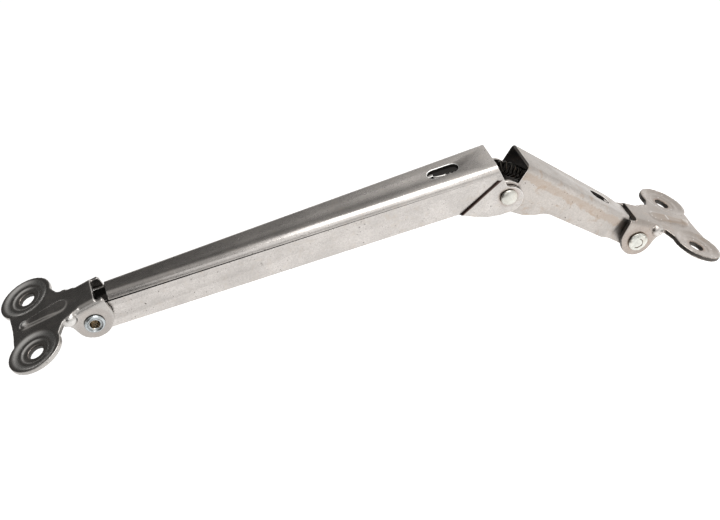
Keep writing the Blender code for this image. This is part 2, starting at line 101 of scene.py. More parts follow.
# rivets
EAR_FACE = 11.7
CLEVIS_FACE = 8.6
ELBOW_HEAD = 3.6
LID_HEAD = 4.5
PIN_RADIUS = 2.5
HOLLOW_PIN = 3.3
HOLLOW_BORE = 2.0
HOLLOW_FLANGE = 4.2

# camera, in metres and degrees
CAMERA_PLACE = (0.14833, -0.44717, 0.32463)
CAMERA_TURN = (45.742, 22.985, -18.008)
CAMERA_LENS = 69.572

FLOOR_GLOW = 0.6
FLOOR_DROP = 0.18

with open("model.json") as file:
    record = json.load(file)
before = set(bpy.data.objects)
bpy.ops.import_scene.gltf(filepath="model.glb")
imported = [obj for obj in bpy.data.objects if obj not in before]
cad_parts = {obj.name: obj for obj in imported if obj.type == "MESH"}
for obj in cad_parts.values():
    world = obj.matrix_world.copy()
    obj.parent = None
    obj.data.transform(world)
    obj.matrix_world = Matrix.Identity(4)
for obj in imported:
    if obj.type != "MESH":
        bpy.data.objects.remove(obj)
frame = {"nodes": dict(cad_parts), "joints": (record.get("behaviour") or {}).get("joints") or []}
cad_low, cad_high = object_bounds()
pivots = {joint["name"]: Vector(joint["pos_m"]) for joint in frame["joints"]}


def member_frame(origin, angle, flip=False):
    """Matrix from a member's own frame to the row frame; flip turns it half round Z."""
    turn = Matrix.Rotation(-math.radians(angle), 4, "Y")
    if flip:
        turn = turn @ Matrix.Rotation(math.pi, 4, "Z")
    return Matrix.Translation(origin) @ turn


ANCHOR = member_frame(pivots["anchor_pivot"], 0.0, flip=True)
LONG = member_frame(pivots["elbow_pivot"], LONG_ANGLE)
SHORT = member_frame(pivots["elbow_pivot"], SHORT_ANGLE)
LID = member_frame(pivots["lid_pivot"], LID_ANGLE)


# ---------------------------------------------------------------- materials

class Nodes:
    """Short hand for building a node material."""

    def __init__(self, name, place):
        self.mat = bpy.data.materials.new(name)
        self.mat.use_nodes = True
        self.tree = self.mat.node_tree
        self.shader = self.tree.nodes["Principled BSDF"]
        coords = self.tree.nodes.new("ShaderNodeTexCoord")
        local = self.tree.nodes.new("ShaderNodeMapping")
        local.vector_type = "TEXTURE"
        local.inputs["Location"].default_value = place.to_translation()
        local.inputs["Rotation"].default_value = place.to_euler()
        self.tree.links.new(coords.outputs["Object"], local.inputs["Vector"])
        self.local = local.outputs["Vector"]

    def link(self, value, socket):
        """Plug a node output or a plain value into a socket."""
        if isinstance(value, bpy.types.NodeSocket):
            self.tree.links.new(value, socket)
        else:
            socket.default_value = value

    def scaled(self, factors):
        """The local position with each axis scaled."""
        node = self.tree.nodes.new("ShaderNodeVectorMath")
        node.operation = "MULTIPLY"
        self.link(self.local, node.inputs[0])
        node.inputs[1].default_value = factors
        return node.outputs["Vector"]

    def noise(self, factors, detail=3.0, roughness=0.55, distortion=0.0):
        """Noise over the local position, factors being cycles per metre along each axis."""
        node = self.tree.nodes.new("ShaderNodeTexNoise")
        self.link(self.scaled(factors), node.inputs["Vector"])
        node.inputs["Scale"].default_value = 1.0
        node.inputs["Detail"].default_value = detail
        node.inputs["Roughness"].default_value = roughness
        node.inputs["Distortion"].default_value = distortion
        return node.outputs["Fac"]

    def math(self, operation, a, b=0.0, clamp=False):
        """A Math node."""
        node = self.tree.nodes.new("ShaderNodeMath")
        node.operation = operation
        node.use_clamp = clamp
        self.link(a, node.inputs[0])
        self.link(b, node.inputs[1])
        return node.outputs[0]

    def band(self, value, low, high, to_low=0.0, to_high=1.0):
        """Smooth step of a value between two limits."""
        node = self.tree.nodes.new("ShaderNodeMapRange")
        node.interpolation_type = "SMOOTHSTEP"
        self.link(value, node.inputs["Value"])
        node.inputs["From Min"].default_value = low
        node.inputs["From Max"].default_value = high
        node.inputs["To Min"].default_value = to_low
        node.inputs["To Max"].default_value = to_high
        return node.outputs["Result"]

    def mix(self, share, a, b):
        """Colour mix."""
        node = self.tree.nodes.new("ShaderNodeMix")
        node.data_type = "RGBA"
        self.link(share, node.inputs["Factor"])
        self.link(a if isinstance(a, bpy.types.NodeSocket) else (*a, 1.0), node.inputs["A"])
        self.link(b if isinstance(b, bpy.types.NodeSocket) else (*b, 1.0), node.inputs["B"])
        return node.outputs["Result"]

    def along_axis(self, axis):
        """One coordinate of the local position."""
        node = self.tree.nodes.new("ShaderNodeSeparateXYZ")
        self.link(self.local, node.inputs[0])
        return node.outputs[axis]

    def radius_from(self, point, squeeze):
        """Distance of the local position from a point, axes scaled by squeeze (0 ignores an axis)."""
        near = self.tree.nodes.new("ShaderNodeVectorMath")
        near.operation = "SUBTRACT"
        self.link(self.local, near.inputs[0])
        near.inputs[1].default_value = [value * MM for value in point]
        flat = self.tree.nodes.new("ShaderNodeVectorMath")
        flat.operation = "MULTIPLY"
        self.link(near.outputs["Vector"], flat.inputs[0])
        flat.inputs[1].default_value = squeeze
        length = self.tree.nodes.new("ShaderNodeVectorMath")
        length.operation = "LENGTH"
        self.link(flat.outputs["Vector"], length.inputs[0])
        return length.outputs["Value"]

    def bump(self, height, strength, distance, normal=None):
        """A Bump node."""
        node = self.tree.nodes.new("ShaderNodeBump")
        node.inputs["Strength"].default_value = strength
        node.inputs["Distance"].default_value = distance
        self.link(height, node.inputs["Height"])
        if normal is not None:
            self.link(normal, node.inputs["Normal"])
        return node.outputs["Normal"]


ROUND_Y = (1.0, 0.0, 1.0)
ROUND_Z = (1.0, 1.0, 0.0)
RUST = (0.20, 0.105, 0.055)
DARK_TONE = (0.10, 0.085, 0.075)
STEP_SHADOW_HALF = 0.42
# lighter colour for polish rings and for painted highlights
POLISH_AND_HIGHLIGHT = (0.84, 0.83, 0.81)
ROUND = (1.0, 1.0, 1.0)


def step_shadow_mask(n, start, end, ragged):
    """A ragged painted shadow line between two points of the side view, in millimetres."""
    run = (end[0] - start[0], end[1] - start[1])
    length = math.hypot(*run)
    across = (-run[1] / length, run[0] / length)
    offset = across[0] * start[0] + across[1] * start[1]
    x, z = n.along_axis("X"), n.along_axis("Z")
    gap = n.math("ADD", n.math("MULTIPLY", x, across[0]), n.math("MULTIPLY", z, across[1]))
    gap = n.math("ABSOLUTE", n.math("SUBTRACT", gap, offset * MM))
    gap = n.math("ADD", gap, n.math("MULTIPLY", ragged, 0.0003))
    near = n.band(gap, (STEP_SHADOW_HALF + 0.1) * MM, (STEP_SHADOW_HALF + 0.4) * MM, 1.0, 0.0)
    low = n.band(z, (max(start[1], end[1]) - 0.2) * MM, (max(start[1], end[1]) + 0.4) * MM, 1.0, 0.0)
    return n.math("MULTIPLY", near, low)


def steel(name, place, base, rough, tint=(0.50, 0.42, 0.34), tint_share=0.35, speck=0.6, grain=0.35,
          streak=0.25, halos=(), halo_colour=RUST, step_shadow=None, worn_edge_and_highlight=0.0, mottle=0.12, band_at=None, crack=None,
          rings=(), ring_colour=POLISH_AND_HIGHLIGHT, raised=None):
    """Worn rolled steel: mottling, drawing streaks, grain, dark pits, stains, and halos round points, rust by
    default; some halos and rings are painted light and shade.

    the step shadow, ((x, z), (x, z)), is a painted shadow line along a step in the side view; the edge-wear
    share brightens convex edges, partly wear and partly painted highlight; band_at is a stained strip (low z,
    high z, share);
    crack is a broken ring-shaped mark (x, z, radius) in the side view; rings are bands of another colour round
    a point;
    raised stains forms that stand over a height (z, share)."""
    n = Nodes(name, place)
    cloud = n.noise((70, 70, 70), 5.0, 0.6)
    blotch = n.noise((260, 300, 300), 4.0, 0.6, 0.6)
    streaks = n.noise((25, 1500, 1500), 3.0, 0.5)
    grains = n.noise((2600, 2600, 2600), 2.0, 0.6)
    pits = n.noise((900, 1100, 1100), 2.0, 0.5)
    light = tuple(min(1.0, value * 1.06) for value in base)
    dark = tuple(value * 0.88 for value in base)
    colour = n.mix(n.band(cloud, 0.35, 0.65), dark, light)
    colour = n.mix(n.math("MULTIPLY", n.band(streaks, 0.35, 0.7), streak), colour, dark)
    fine = n.noise((1300, 1300, 1300), 2.0, 0.6)
    deep = tuple(value * 0.55 for value in base)
    colour = n.mix(n.band(fine, 0.38, 0.62, 0.0, mottle * 2.0), colour, deep)
    stain = n.math("MULTIPLY", n.band(blotch, 0.52, 0.72), tint_share)
    colour = n.mix(stain, colour, tint)
    if band_at:
        height = n.math("ADD", n.along_axis("Z"), n.math("MULTIPLY", n.math("SUBTRACT", blotch, 0.5), 0.006))
        strip = n.math("MULTIPLY", n.band(height, (band_at[0] - 0.8) * MM, band_at[0] * MM),
                       n.band(height, band_at[1] * MM, (band_at[1] + 0.8) * MM, 1.0, 0.0))
        colour = n.mix(n.math("MULTIPLY", strip, band_at[2]), colour, tint)
    for point, squeeze, inner, outer, share in rings:
        distance = n.radius_from(point, squeeze)
        ring = n.math("MULTIPLY", n.band(distance, (inner - 0.7) * MM, (inner + 0.2) * MM),
                      n.band(distance, (outer - 0.2) * MM, (outer + 0.8) * MM, share, 0.0))
        colour = n.mix(ring, colour, ring_colour)
    if raised:
        over = n.band(n.along_axis("Z"), raised[0] * MM, (raised[0] + 0.35) * MM, 0.0, raised[1])
        colour = n.mix(over, colour, tint)
    spots = n.math("MULTIPLY", n.band(pits, 0.67, 0.74), n.band(cloud, 0.40, 0.58))
    spots = n.math("MULTIPLY", spots, speck)
    colour = n.mix(spots, colour, DARK_TONE)
    for point, squeeze, inner, outer, share in halos:
        distance = n.radius_from(point, squeeze)
        ragged = n.math("MULTIPLY_ADD", blotch, 0.0022)
        ragged.node.inputs[2].default_value = -0.0011
        reach = n.math("ADD", distance, ragged)
        ring = n.band(reach, inner * MM, outer * MM, share, 0.0)
        colour = n.mix(ring, colour, halo_colour)
    if crack:
        away = n.radius_from((crack[0], 0.0, crack[1]), ROUND_Y)
        line = n.math("ABSOLUTE", n.math("SUBTRACT", away, crack[2] * MM))
        line = n.math("ADD", line, n.math("MULTIPLY", n.math("SUBTRACT", blotch, 0.5), 0.0009))
        line = n.band(line, 0.14 * MM, 0.38 * MM, 0.95, 0.0)
        side = n.band(n.along_axis("X"), (crack[0] - 0.6) * MM, (crack[0] + 0.4) * MM)
        colour = n.mix(n.math("MULTIPLY", line, side), colour, (0.07, 0.04, 0.02))
    # painted shadow along the slanted step in the long arm's walls
    if step_shadow:
        colour = n.mix(step_shadow_mask(n, *step_shadow, blotch), colour, (0.085, 0.058, 0.05))
    # lighter convex edges: partly edge wear, partly painted highlight along rims and bends
    if worn_edge_and_highlight:
        shape = n.tree.nodes.new("ShaderNodeNewGeometry").outputs["Pointiness"]
        colour = n.mix(n.band(shape, 0.53, 0.60, 0.0, worn_edge_and_highlight), colour, (0.86, 0.85, 0.84))
    n.link(colour, n.shader.inputs["Base Color"])
    n.shader.inputs["Metallic"].default_value = 1.0
    roughness = n.math("MULTIPLY_ADD", spots, 0.4)
    roughness.node.inputs[2].default_value = rough
    uneven = n.math("MULTIPLY", n.math("SUBTRACT", blotch, 0.5), 0.14)
    n.link(n.math("ADD", roughness, uneven, clamp=True), n.shader.inputs["Roughness"])
    rough_skin = n.bump(grains, grain, 0.00004)
    drawn = n.bump(streaks, 0.25, 0.00003, rough_skin)
    pitted = n.bump(n.math("MULTIPLY", spots, -1.0), 0.5, 0.00008, drawn)
    n.link(pitted, n.shader.inputs["Normal"])
    return n.mat


SCREWS = tuple((SCREW_U, side * SCREW_V, PLATE_TOP) for side in (-1, 1))
GUSSETS = tuple((7.0, side * 8.6, 7.3) for side in (-1, 1))
screw_halos = tuple((screw, ROUND_Z, 3.4, 5.2, 0.5) for screw in SCREWS)
anchor_halos = tuple((screw, ROUND_Z, 3.3, 4.4, 0.3) for screw in SCREWS)
ear_halo = (((0, 0, 0), ROUND_Y, 6.6, 8.2, 0.12),)
# Lighter rings round each screw on the dish slope and at the edge of the dish floor, partly polish and partly
# painted highlight; then painted highlights on the two gusset dimples and on the rib tip.
polish_and_highlight_rings = tuple((screw, ROUND_Z, 7.8, 9.4, 0.75) for screw in SCREWS)
polish_and_highlight_rings += tuple((screw, ROUND_Z, 5.9, 6.0, 0.7) for screw in SCREWS)
polish_and_highlight_rings += tuple((gusset, ROUND, -1.0, 2.0, 0.45) for gusset in GUSSETS)
polish_and_highlight_rings += (((RIB_TIP, 0.0, PLATE_TOP + 1.6), ROUND, -1.0, 1.2, 0.95),)

ARM_LONG = steel("arm_long_steel", LONG, (0.56, 0.53, 0.505), 0.28, tint_share=0.22, speck=0.8,
                 halos=(((0, 0, 0), ROUND_Y, 3.4, 5.6, 0.35),), step_shadow=(JOGGLE_TOP, JOGGLE_FOOT))
ARM_SHORT = steel("arm_short_steel", SHORT, (0.50, 0.465, 0.435), 0.34, tint=(0.38, 0.29, 0.22),
                  tint_share=0.55, speck=0.95, halos=(((0, 0, 0), ROUND_Y, 3.4, 6.4, 0.45),),
                  band_at=(9.4, 12.2, 0.45))
# lighter colour for the eased cut edges: painted highlight
EDGE_HIGHLIGHT_LONG = steel("cut_edge_long_highlight", LONG, (0.74, 0.72, 0.70), 0.24, tint_share=0.3, speck=0.5,
                  step_shadow=(JOGGLE_TOP, JOGGLE_FOOT))
EDGE_HIGHLIGHT_SHORT = steel("cut_edge_short_highlight", SHORT, (0.72, 0.69, 0.66), 0.26, tint_share=0.4, speck=0.5)
# near-white slot rims: painted highlight along the flared edges of the slots
SLOT_RIM_HIGHLIGHT_LONG = steel("slot_rim_long_painted_highlight", LONG, (0.95, 0.94, 0.92), 0.5, tint_share=0.1, speck=0.2)
SLOT_RIM_HIGHLIGHT_SHORT = steel("slot_rim_short_painted_highlight", SHORT, (0.80, 0.76, 0.72), 0.5, tint_share=0.2, speck=0.2)
PLATE_DARK = steel("plate_dark_steel", ANCHOR, (0.46, 0.44, 0.42), 0.27, tint_share=0.18, speck=0.6,
                   grain=0.15, halos=anchor_halos + ear_halo, worn_edge_and_highlight=0.8, mottle=0.05, rings=polish_and_highlight_rings)
PLATE_LIGHT = steel("plate_light_steel", LID, (0.45, 0.405, 0.37), 0.32, tint=(0.38, 0.29, 0.22),
                    tint_share=0.45, speck=0.7,
                    # the last halo is a dark ring round the rivet head: painted contact shadow in the rust
                    # colour
                    halos=screw_halos + ear_halo + (((0, 0, 0), ROUND_Y, 4.3, 5.3, 0.5),),
                    # the lid plate takes only the painted highlights on the gussets and the rib tip
                    worn_edge_and_highlight=0.5, rings=polish_and_highlight_rings[-3:], raised=(PLATE_TOP + 0.15, 0.4))
RIVET_PALE = steel("rivet_pale_zinc", SHORT, (0.64, 0.63, 0.58), 0.33, tint_share=0.25, speck=0.3, grain=0.2,
                   streak=0.0)
RIVET_PEENED = steel("rivet_peened_zinc", LID, (0.68, 0.68, 0.63), 0.33, tint_share=0.35, speck=0.5,
                     grain=0.3, streak=0.0, crack=(-0.6, -0.3, 2.3))
RIVET_ROLLED = steel("rivet_rolled_zinc", ANCHOR, (0.50, 0.535, 0.55), 0.26, tint_share=0.1, speck=0.2,
                     grain=0.15, streak=0.0, halos=(((0, 0, 0), ROUND_Y, 2.0, 2.3, 0.7),),
                     # the ring is a dark band laid over the groove in the rolled lip
                     halo_colour=(0.80, 0.68, 0.52), rings=(((0, 0, 0), ROUND_Y, 3.05, 2.75, 0.85),),
                     ring_colour=DARK_TONE)
# near-black finishes for the channels' inward faces, slot walls, screw-hole walls and the lid bracket's cut
# edges: painted shade
SHADE_INSIDE_LONG = steel("painted_shade_long", LONG, (0.032, 0.029, 0.027), 0.5, tint=(0.07, 0.045, 0.03), speck=0.9)
SHADE_INSIDE_SHORT = steel("painted_shade_short", SHORT, (0.032, 0.029, 0.027), 0.5, tint=(0.07, 0.045, 0.03), speck=0.9)
SHADE_INSIDE_ANCHOR = steel("painted_shade_anchor", ANCHOR, (0.08, 0.076, 0.072), 0.5, tint=(0.09, 0.07, 0.06), speck=0.9)
SHADE_INSIDE_LID = steel("painted_shade_lid", LID, (0.10, 0.092, 0.085), 0.5, tint=(0.12, 0.08, 0.055), speck=0.9)
SLEEVE_GREY = steel("sleeve_grey_steel", SHORT, (0.22, 0.205, 0.19), 0.5, tint_share=0.4)
# near-black wire: painted shade for the coil inside the arms; the pale halo under the long arm's slot is
# painted light falling through the slot
SPRING_SHADE_AND_LIGHT = steel("spring_painted_shade_and_light", LONG, (0.028, 0.025, 0.022), 0.42, tint=(0.07, 0.04, 0.02),
                    tint_share=0.4, speck=0.4, grain=0.2,
                    halos=(((LONG_SLOT_START + 6.0, 0, LONG_TOP), ROUND_Z, 8.0, 10.0, 0.95),),
                    halo_colour=(0.70, 0.68, 0.65))


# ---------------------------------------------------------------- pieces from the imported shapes

def plain_mesh(node):
    """The node's surface as a welded mesh with flat faces joined."""
    source = frame["nodes"][node].data
    mesh = bpy.data.meshes.new(node + "_fine")
    mesh.from_pydata([v.co.copy() for v in source.vertices], [], [tuple(p.vertices) for p in source.polygons])
    work = bmesh.new()
    work.from_mesh(mesh)
    bmesh.ops.remove_doubles(work, verts=work.verts, dist=2e-7)
    bmesh.ops.dissolve_limit(work, angle_limit=math.radians(0.5), verts=work.verts, edges=work.edges)
    bmesh.ops.remove_doubles(work, verts=work.verts, dist=WELD * MM)
    bmesh.ops.dissolve_degenerate(work, edges=work.edges, dist=WELD * MM)
    bmesh.ops.recalc_face_normals(work, faces=work.faces)
    work.to_mesh(mesh)
    work.free()
    return mesh


def new_piece(name, mesh, mat, body=None, node=None):
    """Link a mesh as a piece with its material, body, replaced node and slot."""
    obj = bpy.data.objects.new(name, mesh)
    bpy.context.scene.collection.objects.link(obj)
    mesh.materials.clear()
    mesh.materials.append(mat)
    if body:
        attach(obj, body)
    if node:
        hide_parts(node)
    return obj


def settle(obj, angle=38.0):
    """Apply the object's modifiers to its mesh and shade it smooth with sharp creases kept."""
    graph = bpy.context.evaluated_depsgraph_get()
    mesh = bpy.data.meshes.new_from_object(obj.evaluated_get(graph))
    mats = list(obj.data.materials)
    obj.modifiers.clear()
    obj.data = mesh
    for index, mat in enumerate(mats):
        if index < len(mesh.materials):
            mesh.materials[index] = mat
        else:
            mesh.materials.append(mat)
    mesh.shade_smooth()
    mesh.set_sharp_from_angle(angle=math.radians(angle))
    return obj


def soften(obj, voxel, rounds, reshape):
    """Turn the shape into an even net, reshape it and relax it, which rounds its edges and pressed forms."""
    net = obj.modifiers.new("net", "REMESH")
    net.mode = "VOXEL"
    net.voxel_size = voxel * MM
    settle(obj)
    reshape(obj)
    relax = obj.modifiers.new("relax", "SMOOTH")
    relax.factor = 0.5
    relax.iterations = rounds
    return settle(obj, 60.0)


def ease_edges(obj, width, edge_mat, angle=50.0):
    """Round the outward cut edges of a sheet and give them a lighter colour, a painted highlight."""
    obj.data.materials.append(edge_mat)
    work = bmesh.new()
    work.from_mesh(obj.data)
    weight = work.edges.layers.float.new("bevel_weight_edge")
    for edge in work.edges:
        if edge.is_manifold and edge.is_convex and edge.calc_face_angle() > math.radians(angle):
            edge[weight] = 1.0
    work.to_mesh(obj.data)
    work.free()
    ease = obj.modifiers.new("ease", "BEVEL")
    ease.width = width * MM
    ease.segments = 2
    ease.limit_method = "WEIGHT"
    ease.use_clamp_overlap = False
    ease.material = 1
    return settle(obj)


def paint(obj, place, mat, chosen):
    """Give the faces that chosen(position, normal) picks in the member's frame, in millimetres, another
    material; here it lays painted shade and painted highlights.
    """
    back = place.inverted()
    turn = back.to_3x3()
    obj.data.materials.append(mat)
    index = len(obj.data.materials) - 1
    for face in obj.data.polygons:
        if chosen(back @ face.center / MM, turn @ face.normal):
            face.material_index = index


def looks_in(middle, last_x=1000.0):
    """Picks faces that look in towards the middle line of a channel."""
    return lambda at, facing: facing.y * at.y + facing.z * (at.z - middle) < -0.8 and at.x < last_x


def screw_wall(at, facing):
    """Picks the wall of a screw hole."""
    return abs(facing.z) < 0.6 and math.hypot(at.x - SCREW_U, abs(at.y) - SCREW_V) < 4.3


def cut_edge(at, facing):
    """Picks the cut edges of a bracket: ends of its ears and web, rims of its ears and of its plate."""
    ends = facing.x < -0.7 and at.x < -4.5
    ear_rim = at.z < 5.5 and abs(facing.y) < 0.3
    plate_rim = at.x > 9.5 and abs(facing.z) < 0.3
    return ends or ear_rim or plate_rim


def slot_wall(start, end, top):
    """Picks the walls of a slot in a web."""
    return lambda at, facing: (start - 1.0 < at.x < end + 1.0 and abs(at.y) < 3.4 and abs(facing.z) < 0.3
                               and at.z > top - 6.0)


def slot_rim(start, end, top):
    """Picks the flared rim of a slot in a web."""
    return lambda at, facing: (start - 2.5 < at.x < end + 2.5 and abs(at.y) < 4.2 and 0.3 < facing.z < 0.97
                               and at.z > top - 0.9)


def press_forms(obj, place):
    """Reshape the pressed forms: each dish gets an outer slope, a narrow land and a deeper floor, and the rib
    fades out at its root and has a raised tip."""
    back = place.inverted()
    co = np.array([back @ v.co for v in obj.data.vertices]) / MM
    for side in (-1, 1):
        r = np.hypot(co[:, 0] - SCREW_U, co[:, 1] - side * SCREW_V)
        turned = -DISH_DEPTH * np.clip((DISH_OUTER - r) / (DISH_OUTER - DISH_FLOOR), 0, 1)
        outer = np.clip((SLOPE_OUTER - r) / SLOPE_WIDTH, 0, 1)
        inner = np.clip((LAND_INNER - r) / 1.0, 0, 1)
        pressed = (-SLOPE_DEPTH * outer ** 2 * (3 - 2 * outer)
                   - (DISH_DEPTH - SLOPE_DEPTH) * inner ** 2 * (3 - 2 * inner))
        near = (r < 11.0) & (co[:, 0] > 10.0)
        co[near, 2] += (pressed - turned)[near]
    fade = np.clip((co[:, 0] - 6.0) / 11.0, 0, 1)
    fade = 0.3 + 0.7 * fade ** 2 * (3 - 2 * fade)
    rib = (np.abs(co[:, 1]) < 5.5) & (co[:, 2] > PLATE_TOP) & (co[:, 0] > 4.5) & (co[:, 0] < 29.0)
    co[rib, 2] = PLATE_TOP + ((co[:, 2] - PLATE_TOP) * fade)[rib]
    tip = np.hypot(co[:, 0] - RIB_TIP, co[:, 1])
    on_top = (tip < 4.0) & (co[:, 2] > PLATE_TOP - 0.3)
    co[on_top, 2] += (RIB_TIP_RISE * np.exp(-(tip / RIB_TIP_WIDTH) ** 2))[on_top]
    for vertex, point in zip(obj.data.vertices, co):
        vertex.co = place @ (Vector(point) * MM)


anchor_plate = new_piece("anchor_plate", plain_mesh("anchor_bracket"), PLATE_DARK, "anchor",
                         "anchor_bracket")
soften(anchor_plate, NET_SIZE, RELAX_ROUNDS, lambda obj: press_forms(obj, ANCHOR))
# painted shade on the anchor bracket's inward faces and screw-hole walls
paint(anchor_plate, ANCHOR, SHADE_INSIDE_ANCHOR, looks_in(1.0, 9.5))
paint(anchor_plate, ANCHOR, SHADE_INSIDE_ANCHOR, screw_wall)
lid_plate = new_piece("lid_plate", plain_mesh("lid_bracket"), PLATE_LIGHT, "lid", "lid_bracket")
soften(lid_plate, NET_SIZE, RELAX_ROUNDS, lambda obj: press_forms(obj, LID))
# painted shade on the lid bracket's inward faces, cut edges and screw-hole walls
paint(lid_plate, LID, SHADE_INSIDE_LID, looks_in(1.0, 9.5))
paint(lid_plate, LID, SHADE_INSIDE_LID, cut_edge)
paint(lid_plate, LID, SHADE_INSIDE_LID, screw_wall)
long_channel = new_piece("long_channel", plain_mesh("long_arm"), ARM_LONG, "long", "long_arm")
ease_edges(long_channel, EASE_WIDTH, EDGE_HIGHLIGHT_LONG)
# painted shade on the long arm's inward faces and slot walls, and a painted highlight on its slot rim
paint(long_channel, LONG, SHADE_INSIDE_LONG, looks_in(4.0))
paint(long_channel, LONG, SHADE_INSIDE_LONG, slot_wall(LONG_SLOT_START, LONG_SLOT_END, LONG_TOP))
paint(long_channel, LONG, SLOT_RIM_HIGHLIGHT_LONG, slot_rim(LONG_SLOT_START, LONG_SLOT_END, LONG_TOP))
short_channel = new_piece("short_channel", plain_mesh("short_arm"), ARM_SHORT, "short", "short_arm")
ease_edges(short_channel, EASE_WIDTH, EDGE_HIGHLIGHT_SHORT)
# painted shade on the short arm's inward faces and slot walls, and a painted highlight on its slot rim
paint(short_channel, SHORT, SHADE_INSIDE_SHORT, looks_in(4.0))
paint(short_channel, SHORT, SHADE_INSIDE_SHORT, slot_wall(SHORT_SLOT_START, SHORT_SLOT_END, SHORT_TOP))
paint(short_channel, SHORT, SLOT_RIM_HIGHLIGHT_SHORT, slot_rim(SHORT_SLOT_START, SHORT_SLOT_END, SHORT_TOP))


# ---------------------------------------------------------------- turned pieces

def turned_piece(name, profile, place, sides=72, dents=0.0, seed=0.0, closed=False):
    """A turned mesh round the local Y axis; profile is (radius, distance along +Y) in millimetres."""
    points = []
    for radius, along in profile:
        for i in range(sides):
            angle = 2 * math.pi * i / sides
            local = Vector((radius * math.cos(angle), along, radius * math.sin(angle)))
            if dents and radius > 0:
                shove = noise.noise(local * 0.55 + Vector((seed, seed, seed)))
                shove += 0.5 * noise.noise(local * 1.3 + Vector((seed, 0, seed)))
                local.y += dents * shove * math.copysign(1, along)
            points.append(place @ (local * MM))
    rows = len(profile)
    faces = []
    for row in range(rows if closed else rows - 1):
        for i in range(sides):
            a = row * sides + i
            b = row * sides + (i + 1) % sides
            c = ((row + 1) % rows) * sides + (i + 1) % sides
            d = ((row + 1) % rows) * sides + i
            faces.append((a, b, c, d))
    mesh = bpy.data.meshes.new(name)
    mesh.from_pydata(points, [], faces)
    work = bmesh.new()
    work.from_mesh(mesh)
    bmesh.ops.remove_doubles(work, verts=work.verts, dist=1e-6)
    bmesh.ops.recalc_face_normals(work, faces=work.faces)
    work.to_mesh(mesh)
    work.free()
    mesh.shade_smooth()
    mesh.set_sharp_from_angle(angle=math.radians(50.0))
    return mesh


def dome(head, face, height, side, edge=0.35, steps=14):
    """Profile of a domed rivet head from its centre out to its rim, on the given side."""
    points = []
    for i in range(steps + 1):
        turn = math.pi / 2 * i / steps
        radius = head * math.sin(turn)
        points.append((radius if i else 0.0, side * (face + edge + (height - edge) * math.cos(turn))))
    points.append((head, side * (face + edge * 0.4)))
    points.append((head - 0.15, side * face))
    return points


def solid_rivet_profile(head, face, height, foot):
    """Head, pin and foot of a solid rivet."""
    near = dome(head, face, height, -1)
    far = dome(head, face, foot, 1)
    return near + [(PIN_RADIUS, -face), (PIN_RADIUS, face)] + list(reversed(far))


elbow_profile = solid_rivet_profile(ELBOW_HEAD, EAR_FACE, 1.6, 1.0)
new_piece("elbow_pin", turned_piece("elbow_pin", elbow_profile, SHORT, dents=0.10, seed=3.1), RIVET_PALE,
          "short", "elbow_rivet")
lid_profile = solid_rivet_profile(LID_HEAD, CLEVIS_FACE, 1.5, 1.1)
new_piece("lid_pin", turned_piece("lid_pin", lid_profile, LID, dents=0.28, seed=7.7), RIVET_PEENED,
          "lid", "lid_rivet")


def rolled_lip(side):
    """Profile of the rolled flange of the hollow rivet, from its bore out to its shank."""
    steps = 28
    points = []
    for i in range(steps + 1):
        share = i / steps
        radius = HOLLOW_BORE + (HOLLOW_FLANGE - HOLLOW_BORE) * share
        height = 0.2 + 0.85 * math.sin(math.pi * share) ** 0.7 - 0.5 * math.exp(-((radius - 2.85) / 0.3) ** 2)
        points.append((radius, side * (CLEVIS_FACE + height)))
    points.append((HOLLOW_FLANGE - 0.2, side * CLEVIS_FACE))
    points.append((HOLLOW_PIN, side * CLEVIS_FACE))
    return points


hollow_profile = rolled_lip(-1) + list(reversed(rolled_lip(1)))
hollow_profile += [(HOLLOW_BORE, CLEVIS_FACE - 0.2), (HOLLOW_BORE, -CLEVIS_FACE + 0.2)]
new_piece("anchor_eyelet", turned_piece("anchor_eyelet", hollow_profile, ANCHOR, dents=0.03, closed=True),
          RIVET_ROLLED, "anchor", "anchor_rivet")

sleeve = frame["nodes"]["elbow_sleeve"]
sleeve.data.materials.clear()
sleeve.data.materials.append(SLEEVE_GREY)


# ---------------------------------------------------------------- spring

def turned_point(point, degrees):
    """Turn an (x, z) point in the XZ plane."""
    angle = math.radians(degrees)
    return (point[0] * math.cos(angle) - point[1] * math.sin(angle),
            point[0] * math.sin(angle) + point[1] * math.cos(angle))


def spring_route():
    """Centre line of the coil in the long arm's frame, and the two points where it leaves the sleeve."""
    wrap = SLEEVE_RADIUS + GAP + COIL_RADIUS + WIRE / 2
    under = ARM_SHEET + COIL_RADIUS + WIRE
    start = (COIL_START, LONG_TOP - under)
    finish = turned_point((SHORT_SLOT_START + 3.0, SHORT_TOP - under), SHORT_ANGLE - LONG_ANGLE)
    first = math.atan2(start[1], start[0]) - math.acos(wrap / math.hypot(*start))
    last = math.atan2(finish[1], finish[0]) + math.acos(wrap / math.hypot(*finish))
    bow = []
    for i in range(BOW_STEPS + 1):
        turn = first + (last - first) * i / BOW_STEPS
        bow.append((wrap * math.cos(turn), wrap * math.sin(turn)))
    return [start] + bow + [finish], bow[0], bow[-1]


def coil_points(route):
    """Helix round the route."""
    lengths = [math.dist(a, b) for a, b in zip(route, route[1:])]
    total = sum(lengths)
    turns = round(total / COIL_STEP)
    count = turns * TURN_POINTS
    points = []
    for i in range(count + 1):
        distance = total * i / count
        k = 0
        while k < len(lengths) - 1 and distance > lengths[k]:
            distance -= lengths[k]
            k += 1
        a, b = route[k], route[k + 1]
        ax, az = (b[0] - a[0]) / lengths[k], (b[1] - a[1]) / lengths[k]
        angle = 2 * math.pi * i / TURN_POINTS
        up = COIL_RADIUS * math.cos(angle)
        points.append(Vector((a[0] + ax * distance - az * up, COIL_RADIUS * math.sin(angle),
                              a[1] + az * distance + ax * up)))
    return points


